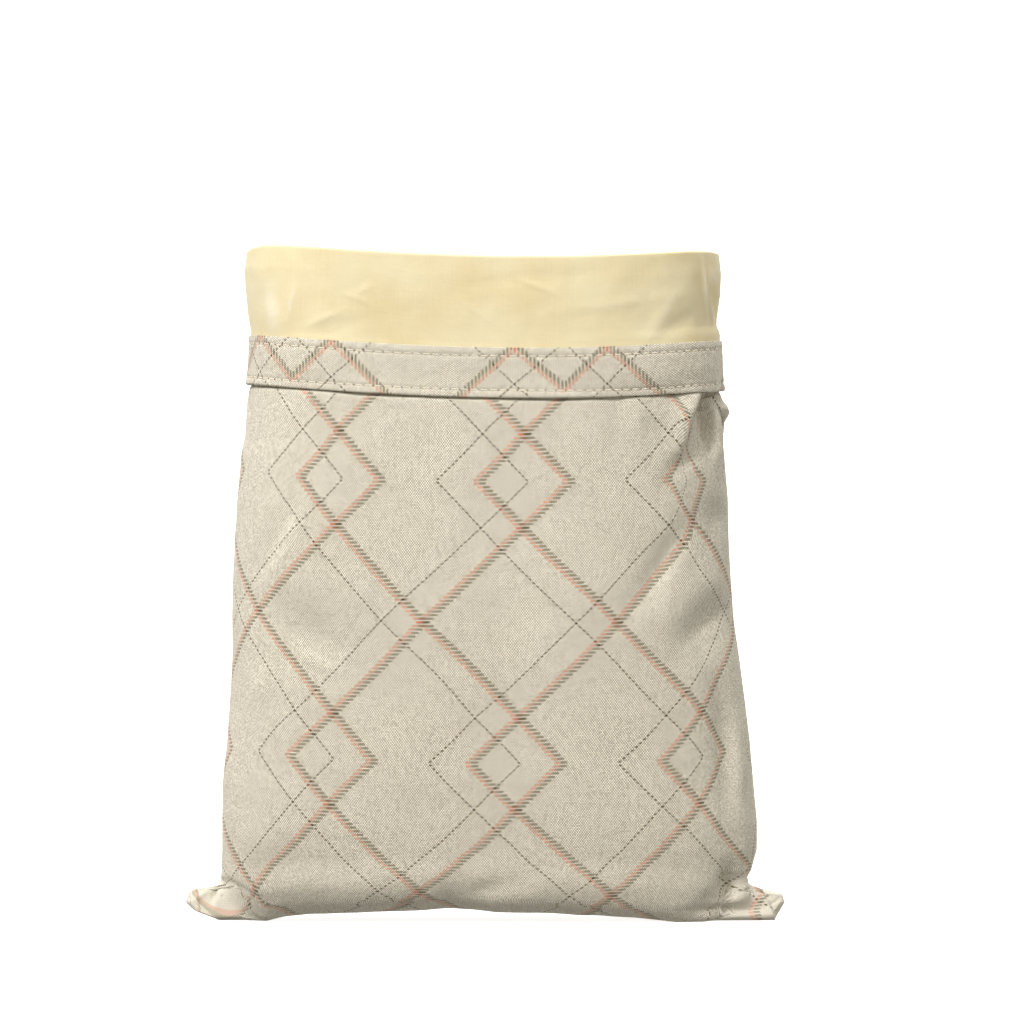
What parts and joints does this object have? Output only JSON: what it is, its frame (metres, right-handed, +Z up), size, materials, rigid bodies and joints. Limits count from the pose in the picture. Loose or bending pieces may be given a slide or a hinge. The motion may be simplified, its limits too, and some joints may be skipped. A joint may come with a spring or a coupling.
{
  "type": "linen bread bag with a turned-out lining cuff",
  "caption": "Standing fabric bread bag, filled shape, mouth turned out as a lining cuff with a cross-cut casing band and seam corners standing out as ears.",
  "frame": {"origin": "middle of the bounding box, on the surface the bag stands on", "axes": "+Z up through the mouth, the front faces -Y, +X to the right seen from the front"},
  "size_m": [0.2876, 0.1022, 0.3225],
  "materials": {
    "printed_linen": "matt plain-weave linen, light greige, printed with a diamond check in dull pink and olive strokes",
    "waxed_lining": "smooth wax-like coated cloth, pale yellow, with whitish crease marks",
    "casing_linen": "the same printed linen cut across the grain, topstitched along both edges"
  },
  "bodies": {
    "root": {"linen_front": "printed_linen", "linen_back": "printed_linen", "lining_front": "waxed_lining", "lining_back": "waxed_lining", "casing_front": "casing_linen", "casing_back": "casing_linen"}
  },
  "joints": []
}
